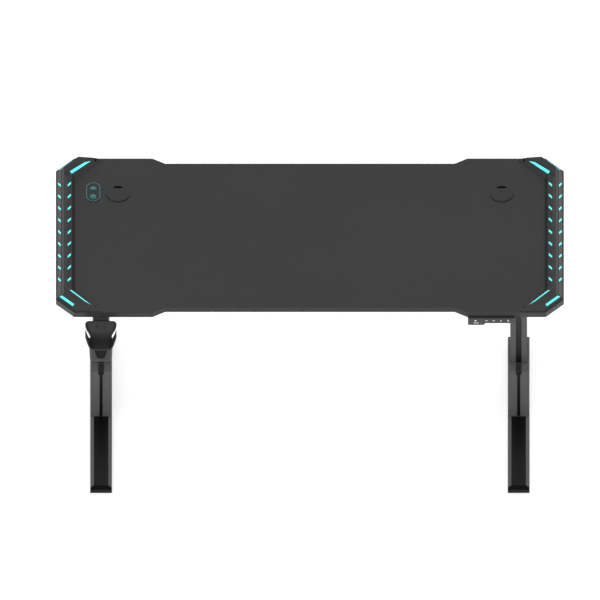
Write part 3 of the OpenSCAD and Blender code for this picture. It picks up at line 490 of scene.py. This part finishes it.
def key_glyphs():
    """Plain arrows and numbers on the keys, and a height in the display window."""
    stroke = 0.9
    drawings = {
        "memory_key": [(circle(0, 0, 2.1, 24), True), ([(0, -0.9), (0, 0.9)], False)],
        "up_key": [([(-3.3, -1.5), (0, 1.7), (3.3, -1.5)], False)],
        "down_key": [([(-3.3, 1.5), (0, -1.7), (3.3, 1.5)], False)],
        "preset_one_key": [([(-1.3, 1.2), (0.2, 2.4), (0.2, -2.3)], False),
                           ([(-1.2, -2.3), (1.6, -2.3)], False)],
        "preset_two_key": [([(-1.7, 1.3), (-0.9, 2.3), (0.9, 2.3), (1.7, 1.4), (1.4, 0.4), (-1.8, -2.3),
                             (1.9, -2.3)], False)],
    }
    for key, lines in drawings.items():
        glyph(key + "_glyph", lines, stroke, front_of(key), WHITE_PRINT, key, "display")

    # The seven segments of a digit, and for each digit its left side and its lit segments
    segments = {"a": ((0, 2), (1, 2)), "b": ((1, 2), (1, 1)), "c": ((1, 1), (1, 0)), "d": ((0, 0), (1, 0)),
                "e": ((0, 0), (0, 1)), "f": ((0, 1), (0, 2)), "g": ((0, 1), (1, 1))}
    digits = ((-6.6, "abc"), (-1.9, "abged"), (4.1, "abcdef"))
    width, half_height, gap, segment_stroke = 3.0, 2.4, 0.35, 0.75
    lines = []
    for x, lit_segments in digits:
        for name in lit_segments:
            ends = [Vector((x + width * u, half_height * (v - 1))) for u, v in segments[name]]
            step = (ends[1] - ends[0]).normalized() * gap
            lines.append(([tuple(ends[0] + step), tuple(ends[1] - step)], False))
    decimal_point = ([(2.1, -2.6), (2.1, -1.9)], False)
    glyph("display_digits", lines + [decimal_point], segment_stroke, front_of("controller_display"),
          WHITE_PRINT, "top", "display")


def pad_print():
    """A line round the touch pad's border and two plain icons."""
    lo, hi = mm_box("touch_pad")
    x, y, _ = middle("touch_pad")
    border, corner, rounding, print_depth = 1.6, 11.5, 3, 0.06
    w, d, c = (hi[0] - lo[0]) / 2 - border, (hi[1] - lo[1]) / 2 - border, corner

    def on_top(u, v, h):
        return (x + u, y + v, hi[2] + h)

    corners = [(w, d - c), (w - c, d), (c - w, d), (-w, d - c),
               (-w, c - d), (c - w, -d), (w - c, -d), (w, c - d)]
    outline = []
    for i, p in enumerate(corners):
        for q in (corners[i - 1], corners[(i + 1) % 8]):
            step = Vector((q[0] - p[0], q[1] - p[1])).normalized() * rounding
            outline.append((p[0] + step.x, p[1] + step.y))
    glyph("pad_outline", [(outline, True)], 0.75, on_top, TEAL_PRINT, "top", "pad", print_depth)

    upper = [(circle(-3.0, 15, 4.6, 20), True), (circle(3.0, 15, 4.6, 20), True),
             ([(-3.6, 15), (3.6, 15)], False)]
    lower = [(circle(0, -18, 7.0, 30), True), ([(-3.6, -20.2), (0, -16.6), (3.6, -20.2)], False),
             ([(-3.6, -16.6), (0, -13.0), (3.6, -16.6)], False)]
    glyph("pad_icons", upper + lower, 1.1, on_top, TEAL_PRINT, "top", "pad", print_depth)


def slot_brushes():
    """Bristles that close the cable slots of the grommet caps, with a membrane and a holding bar."""
    rows, per_row, root_y = 3, 34, 18.4
    half, membrane_y, membrane_r, tip_r = 12.4, 16.95, 25.8, 25.7
    for side, _ in SIDES:
        x, y, _ = middle(side + "_grommet_cap")
        top = mm_box(side + "_grommet_cap")[1][2]

        def place(u, v, h):
            return (x + u, y + v, top + h)

        rim = [(u, math.sqrt(membrane_r ** 2 - u * u)) for u in (half, 9, 6, 3, 0, -3, -6, -9, -half)]
        parts = [prism([(-half, membrane_y), (half, membrane_y)] + rim, -4.2, -3.4, place),
                 prism([(-12.3, 16.9), (12.3, 16.9), (12.3, 19.2), (-12.3, 19.2)], -3.4, -1.5, place)]
        for row in range(rows):
            for i in range(per_row):
                u = -12 + 24 * (i + 0.5 * (row % 2)) / per_row + 0.12 * math.sin(9.1 * i + row)
                tip_y = math.sqrt(tip_r ** 2 - u * u)
                tip_u = u + 0.5 * math.sin(5.3 * i + 2 * row)
                h = -1.9 - 0.5 * row
                root = [(u - 0.3, root_y, h), (u + 0.3, root_y, h), (u, root_y, h - 0.4)]
                tip = [(tip_u - 0.16, tip_y, h - 0.5), (tip_u + 0.16, tip_y, h - 0.5),
                       (tip_u, tip_y, h - 0.75)]
                parts.append(loft([[place(*p) for p in ring] for ring in (root, tip)]))
        piece(side + "_slot_brush", *merge(*parts), BRISTLE, side + "_grommet_cap", "rubber")


def rounded_box(half_x, half_y, r, z, n):
    """A level rectangle about the origin, with n steps round each corner."""
    ring = []
    for quarter, (sx, sy) in enumerate(((1, 1), (-1, 1), (-1, -1), (1, -1))):
        for i in range(n + 1):
            a = math.radians(90 * quarter + 90 * i / n)
            ring.append((sx * (half_x - r) + r * math.cos(a),
                         sy * (half_y - r) + r * math.sin(a), z))
    return ring


def rounded_square(half, r, z):
    return rounded_box(half, half, r, z, 10)


# The cup holder's place, and its flare: half its width at each height above its base
HOLDER = (-576.0, -307.0, 604.0)
BASE_EDGE = 1.2
HOLDER_FLARE = [(0, 29.6), (BASE_EDGE, 30.5), (15, 31.0), (30, 31.5), (44.5, 31.95), (50, 33.1),
                (57, 35.2), (64, 38.0), (71, 40.7), (77, 42.4), (82, 43.2), (86, 43.2)]


def at_holder(part):
    """Points about the cup holder's base, moved to its place."""
    verts, faces = part
    return [tuple(a + b for a, b in zip(v, HOLDER)) for v in verts], faces


def carve(shell, tools, bevel):
    """Adds each tool to the shell or cuts it away, and rounds the edges."""
    for tool, operation in tools:
        mod = shell.modifiers.new("cut", "BOOLEAN")
        mod.operation, mod.object, mod.solver = operation, tool, "EXACT"
    soft = shell.modifiers.new("edge", "BEVEL")
    soft.width, soft.segments, soft.limit_method, soft.angle_limit = bevel, 2, "ANGLE", math.radians(35)
    graph = bpy.context.evaluated_depsgraph_get()
    mesh = bpy.data.meshes.new_from_object(shell.evaluated_get(graph))
    shell.modifiers.clear()
    bm = bmesh.new()
    bm.from_mesh(mesh)
    bmesh.ops.remove_doubles(bm, verts=bm.verts, dist=0.02 * MM)
    bm.to_mesh(mesh)
    bm.free()
    shell.data = mesh
    mesh.shade_smooth()
    mesh.set_sharp_from_angle(angle=math.radians(28))
    for tool, _ in tools:
        bpy.data.objects.remove(tool)


def cup_shell():
    """The cup holder as a thin moulding: a well with a notch in front, two arms and a boss for screws."""
    wall, corner = 2.8, 12
    outer = loft([rounded_square(w, corner, z) for z, w in HOLDER_FLARE])
    inner = loft([rounded_square(w - wall, corner - wall, max(z, wall))
                  for z, w in HOLDER_FLARE if z != BASE_EDGE] + [rounded_square(40.4, corner - wall, 90)])
    boss = prism([(-16, 30.2), (16, 30.2), (16, 44.2), (-16, 44.2)], 56, 82)

    def sideways(y, z, x):
        return (x, y, z)

    def forwards(x, z, y):
        return (x, y, z)

    front = prism([(-72, 45), (-32, 45), (-24, 60), (-10, 87), (-72, 87)], -90, 90, sideways)
    notch = prism([(-10, 14), (10, 14), (13, 26), (18, 46), (-18, 46), (-13, 26)], -60, 0, forwards)
    right_slot = prism([(21, 6), (60, 6), (60, 26), (21, 26)], 40, 95)
    left_slot = prism([(-60, 6), (-21, 6), (-21, 26), (-60, 26)], 40, 95)

    shell = piece("cup_shell", *at_holder(outer), MATERIALS["cup"], None, None)
    steps = [(boss, "UNION")] + [(part, "DIFFERENCE")
                                 for part in (inner, front, notch, right_slot, left_slot)]
    tools = [(piece("tool", *at_holder(part), MATERIALS["cup"], None, None), operation)
             for part, operation in steps]
    carve(shell, tools, 0.7 * MM)
    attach(shell, "top")
    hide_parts("cup_holder")

    head = [(-0.6, 1.6), (-1.2, 1.7), (-1.2, 3.0), (-0.8, 4.2), (0.4, 4.6), (6, 4.6)]
    screws = [turned(head, (HOLDER[0] + u, HOLDER[1] + 33.6, HOLDER[2] + 69), 1, 28)
              for u in (-9, 9)]
    piece("cup_shell_screws", *merge(*screws), MATERIALS["screw"], "top", "screw", 30)


def islands(bm):
    """The faces of a mesh in groups that hang together."""
    seen, groups = set(), []
    for start in bm.faces:
        if start in seen:
            continue
        group, queue = [], [start]
        seen.add(start)
        while queue:
            face = queue.pop()
            group.append(face)
            for near in (f for edge in face.edges for f in edge.link_faces):
                if near not in seen:
                    seen.add(near)
                    queue.append(near)
        groups.append(group)
    return groups


def points_of(faces):
    """The faces' points, in an order that never varies."""
    return sorted({v for f in faces for v in f.verts}, key=lambda v: v.index)


def bar_domes():
    """Domed faces of the outer rear corner bars, whose glow shows from the front along the rim."""
    # Rise above the bar's face, and inset from its sides
    dome = ((-0.2, 0.05), (1.0, 0.05), (1.7, 0.5), (2.0, 1.4))
    for side, outward in SIDES:
        bm = bmesh.new()
        bm.from_mesh(frame["nodes"][side + "_light_lenses"].data)
        bmesh.ops.remove_doubles(bm, verts=bm.verts, dist=0.001 * MM)
        bm.verts.index_update()

        def length(bar):
            ys = [v.co.y for v in points_of(bar)]
            return max(ys) - min(ys)

        def reach(bar):
            xs = [v.co.x for v in points_of(bar)]
            return sum(xs) / len(xs) * outward

        # The four corner bars are longer than any dash, and two of them lie further out
        corner_bars = sorted(islands(bm), key=length, reverse=True)[:4]
        outer_bars = sorted(corner_bars, key=reach, reverse=True)[:2]
        bar = max(outer_bars, key=lambda b: b[0].calc_center_median().y)

        def size(face):
            """Area of the plane that the face lies in. Of two alike, the outer one counts as larger."""
            flat = sum(f.calc_area() for f in bar if f.normal.dot(face.normal) > 0.999)
            return flat + 0.001 * face.normal.x * outward

        out = max((f for f in bar if f.normal.z > 0 or f.normal.x * outward > 0.3), key=size).normal.copy()
        rim = points_of([f for f in bar if f.normal.dot(out) > 0.999])
        centre = sum((v.co for v in rim), Vector()) / len(rim)
        along = (max(rim, key=lambda v: (v.co - centre).length).co - centre).normalized()
        across = out.cross(along).normalized()
        flat = sorted(((v.co - centre).dot(along) / MM, (v.co - centre).dot(across) / MM) for v in rim)
        flat.sort(key=lambda q: math.atan2(q[1], q[0]))
        long, wide = max(abs(q[0]) for q in flat), max(abs(q[1]) for q in flat)
        rings = [[tuple(centre / MM + out * rise + along * u * (1 - inset / long)
                        + across * v * (1 - inset / wide)) for u, v in flat] for rise, inset in dome]
        bm.free()
        piece(side + "_bar_domes", *loft(rings), MATERIALS["light"], "top", "light")


def column_collar(side):
    """A moulded collar round the mouth of the outer column, open in its middle for the inner one."""
    lo, hi = mm_box(side + "_outer_column")
    x, y, _ = middle(side + "_outer_column")
    half_x, half_y = (hi[0] - lo[0]) / 2, (hi[1] - lo[1]) / 2
    corner, steps = 2, 6
    profile = [(0.15, -7), (1.1, -6), (1.1, 1.6), (0.5, 2.4), (-3.2, 2.4), (-3.2, 0.1), (0.15, 0.1)]
    rings = [[(x + u, y + v, h) for u, v, h in
              rounded_box(half_x + grow, half_y + grow, corner, hi[2] + rise, steps)]
             for grow, rise in profile]
    verts, faces = loft(rings)
    n, last = len(rings[0]), (len(rings) - 1) * len(rings[0])
    closing = [[last + i, last + (i + 1) % n, (i + 1) % n, i] for i in range(n)]
    piece(side + "_column_collar", verts, faces[:-2] + closing, MATERIALS["plastic"],
          "base", "plastic", 35)


def leveller_grip(leveller):
    """A notched ring to turn a leveller by."""
    x, y, _ = middle(leveller)
    notches, notch = 36, 0.4
    rings = []
    for h, r in ((0.5, 18.9), (0.9, 19.35), (2.3, 19.35), (2.7, 18.9)):
        rings.append([(x + (r - notch * (i % 2)) * math.cos(math.pi * i / notches),
                       y + (r - notch * (i % 2)) * math.sin(math.pi * i / notches), h)
                      for i in range(2 * notches)])
    piece(leveller + "_grip", *loft(rings), MATERIALS["rubber"], leveller, "rubber")


def leg_details():
    for side, _ in SIDES:
        column_collar(side)
        for end in ("front", "rear"):
            leveller_grip(f"{side}_{end}_leveller")


# Middles of the clips: x, y, and whether the lead runs along y there
LEAD_CLIPS = ([(k * x, 170.4, False) for k in (-1, 1) for x in (190, 320, 450)]
              + [(500.45, y, True) for y in (-150, -60)])


def lead_clips():
    """Stuck-down saddles over the straight runs of the leads, each with its foot on the free side."""
    board = mm_box("desktop")[0][2]
    arch = [(-4.1, 0.2), (-4.1, -4.6), (-2.6, -6.2), (2.6, -6.2), (4.1, -4.6), (4.1, 0.2)]
    foot = [(-4.1, 0.2), (-4.1, -1.2), (10, -1.2), (10, 0.2)]
    parts = []
    for x, y, along_y in LEAD_CLIPS:
        for shape, half in ((arch, 4), (foot, 5)):
            rings = [[(x + u, y + h, board + v) if along_y else (x + h, y + u, board + v)
                      for u, v in shape] for h in (-half, half)]
            parts.append(loft(rings))
    piece("lead_clips", *merge(*parts), MATERIALS["plastic"], "top", "plastic")


# The columns' middles and the motors' axis and ends, from the middle of the desk
COLUMN_X, LEG_Y = 575.4, 101.0
MOTOR_END_X, MOTOR_Z = 445.4, 673.85


def motor_end(side, k):
    """End bell, two bands and three screws on a motor. k is -1 at the left and 1 at the right."""
    end = k * MOTOR_END_X
    bell = [(k * a, r) for a, r in ((-3.2, 3.6), (-3.2, 7.0), (-0.6, 8.0), (-0.6, 21.0),
                                    (1.0, 23.4), (9.0, 23.4), (9.6, 22.6), (10.4, 22.6))]
    bands = [[(k * (a + b), r) for b, r in ((-1.8, 22.6), (-1.2, 23.5), (1.2, 23.5), (1.8, 22.6))]
             for a in (40, 72)]
    parts = [turned(profile, (end, LEG_Y, MOTOR_Z), 0, 48) for profile in [bell] + bands]
    for turn in (90, 210, 330):
        a = math.radians(turn)
        parts.append(turned([(k * -1.8, 1.6), (k * -1.8, 2.6), (k * 0.2, 2.9)],
                            (end, LEG_Y + 15 * math.cos(a), MOTOR_Z + 15 * math.sin(a)), 0, 20))
    piece(side + "_motor_end", *merge(*parts), MATERIALS["black_paint"], "top", "black_paint", 30)


def bracket_bolts(side, k):
    """Four bolts that hold the column's head in the top bracket."""
    bottom = mm_box(side + "_top_bracket")[0][2]
    bolt = [(0.2, 4.6), (-0.6, 4.6), (-1.0, 4.2), (-1.0, 3.4),
            (-4.4, 3.4), (-4.8, 3.0), (-4.8, 1.6), (-3.0, 1.6)]
    bolts = [turned(bolt, (k * COLUMN_X + u, LEG_Y + v, bottom), 2, 24)
             for u in (-21, 21) for v in (-52, 52)]
    piece(side + "_bracket_bolts", *merge(*bolts), MATERIALS["screw"], "top", "screw", 30)


def rail_tabs():
    """A plate with a hexagon screw at each end of both rails."""
    tab = [(0, -9), (2, -11), (18, -11), (22, -7), (22, 7), (18, 11), (2, 11), (0, 9)]
    inset, thick, screw_x = 2, 2.5, 12
    parts = []
    for node, out in (("front_rail", -1), ("rear_rail", 1)):
        lo, hi = mm_box(node)
        z = middle(node)[2]
        wall = hi[1] if out > 0 else lo[1]
        for k, end in ((-1, lo[0]), (1, hi[0])):
            parts.append(prism([(end - k * inset - k * u, z + v) for u, v in tab], 0.0, thick,
                               lambda u, v, h, wall=wall, out=out: (u, wall + out * h, v)))
            parts.append(turned([(0, 5.6), (out * 0.4, 6.0), (out * 3.6, 6.0), (out * 4.2, 5.4)],
                                (end - k * screw_x, wall + out * thick, z), 1, 6))
    piece("rail_tabs", *merge(*parts), MATERIALS["screw"], "top", "screw", 30)


def rectangle(x, y, half_x, half_y):
    return [(x + sx * half_x, y + sy * half_y) for sx, sy in ((-1, -1), (1, -1), (1, 1), (-1, 1))]


def control_box_details():
    """Cooling fins within a raised border, and the three pins of the mains inlet."""
    lo, hi = mm_box("control_box")
    x, y, _ = middle("control_box")
    count, pitch, sunk = 15, 6, 0.2
    fins = [prism(rectangle(x + pitch * (i - (count - 1) / 2), y, 0.8, 28), lo[2] - 1.0, lo[2] + sunk)
            for i in range(count)]
    fins.append(ribbon(rectangle(x, y, 104, 39), 1.6, True, lo[2] - 0.7, lo[2] + sunk,
                       lambda u, v, h: (u, v, h)))
    piece("control_box_fins", *merge(*fins), MATERIALS["plastic"], "top", "plastic")

    inlet_x, inlet_z = -80, lo[2] + 15.5
    pins = [prism(rectangle(inlet_x + u, inlet_z + v, 0.8, 2), hi[1] - 18.2, hi[1] - 4,
                  lambda a, b, h: (a, h, b)) for u, v in ((-6.5, -1.6), (0.0, 1.8), (6.5, -1.6))]
    piece("inlet_pins", *merge(*pins), MATERIALS["nut"], "top", "nut")


def underside():
    for side, k in SIDES:
        motor_end(side, k)
        bracket_bolts(side, k)
    rail_tabs()
    control_box_details()


def make_floor():
    """A pale floor that is clear from below. Rays from the camera and mirrored rays see it lighter."""
    camera_glow, mirrored_glow = 0.42, 0.62
    s = Shader("pale floor")
    s.tree.nodes.remove(s.bsdf)
    diffuse = s.add("ShaderNodeBsdfDiffuse")
    tone = s.remap(s.noise(40, 2), 0.3, 0.7)
    s.link(s.mix(tone, grey(0.8), grey(0.82)), diffuse.inputs["Color"])
    glow = s.add("ShaderNodeEmission")
    path = s.add("ShaderNodeLightPath").outputs
    mirrored = s.math("MAXIMUM", path["Is Glossy Ray"], path["Is Transmission Ray"])
    mirrored_part = s.math("MULTIPLY", mirrored, mirrored_glow)
    level = s.math("MULTIPLY_ADD", path["Is Camera Ray"], camera_glow, mirrored_part)
    s.link(level, glow.inputs["Strength"])
    both = s.add("ShaderNodeAddShader")
    s.link(diffuse.outputs[0], both.inputs[0])
    s.link(glow.outputs[0], both.inputs[1])
    clear_back = s.add("ShaderNodeMixShader")
    s.link(s.add("ShaderNodeNewGeometry").outputs["Backfacing"], clear_back.inputs[0])
    s.link(both.outputs[0], clear_back.inputs[1])
    s.link(s.add("ShaderNodeBsdfTransparent").outputs[0], clear_back.inputs[2])
    s.link(clear_back.outputs[0], s.out.inputs[0])
    bpy.ops.mesh.primitive_plane_add(size=14, location=(0, 0, -0.5 * MM))
    floor = bpy.context.object
    floor.name = "studio_floor"
    floor.data.materials.append(s.mat)


def make_world():
    """White for the camera, a soft dome for mirrored rays, and a plain level for the rest."""
    diffuse_level, camera_level = 0.5, 1.0
    horizon_level, zenith_level, zenith_at = 1.05, 0.84, 0.75
    world = bpy.data.worlds.new("studio")
    bpy.context.scene.world = world
    world.use_nodes = True
    tree = world.node_tree
    tree.nodes.clear()
    out = tree.nodes.new("ShaderNodeOutputWorld")
    back = tree.nodes.new("ShaderNodeBackground")
    path = tree.nodes.new("ShaderNodeLightPath")
    back.inputs["Color"].default_value = (1, 1, 1, 1)
    up = tree.nodes.new("ShaderNodeSeparateXYZ")
    tree.links.new(tree.nodes.new("ShaderNodeTexCoord").outputs["Generated"], up.inputs[0])
    dome = tree.nodes.new("ShaderNodeMapRange")
    tree.links.new(up.outputs[2], dome.inputs[0])
    for i, v in ((2, zenith_at), (3, horizon_level), (4, zenith_level)):
        dome.inputs[i].default_value = v

    def choose(kind, seen, other):
        """A level for one kind of ray, and another for the rest."""
        pick = tree.nodes.new("ShaderNodeMix")
        tree.links.new(path.outputs[kind], pick.inputs[0])
        for value, socket in ((other, pick.inputs[2]), (seen, pick.inputs[3])):
            if isinstance(value, float):
                socket.default_value = value
            else:
                tree.links.new(value, socket)
        return pick.outputs[0]

    level = choose("Is Glossy Ray", dome.outputs[0], diffuse_level)
    level = choose("Is Transmission Ray", dome.outputs[0], level)
    level = choose("Is Camera Ray", camera_level, level)
    tree.links.new(level, back.inputs["Strength"])
    tree.links.new(back.outputs[0], out.inputs[0])


def sun(name, strength, tilt, turn, shadow):
    """A soft sun that isn't mirrored, tilted from straight above and turned about z, in degrees."""
    data = bpy.data.lights.new(name, "SUN")
    data.energy = strength
    data.angle = math.radians(40)
    data.use_shadow = shadow
    obj = bpy.data.objects.new(name, data)
    obj.rotation_euler = (math.radians(tilt), 0, math.radians(turn))
    obj.visible_glossy = False
    bpy.context.scene.collection.objects.link(obj)


def make_studio():
    make_floor()
    make_world()
    sun("key", 0.9, 58, -8, True)
    sun("front_fill", 0.8, 72, 0, False)
    sun("top_fill", 0.9, 15, 0, False)


make_camera()
make_studio()
dress_nodes()
key_glyphs()
pad_print()
slot_brushes()
cup_shell()
bar_domes()
leg_details()
lead_clips()
underside()

bpy.context.scene.view_settings.view_transform = "Standard"
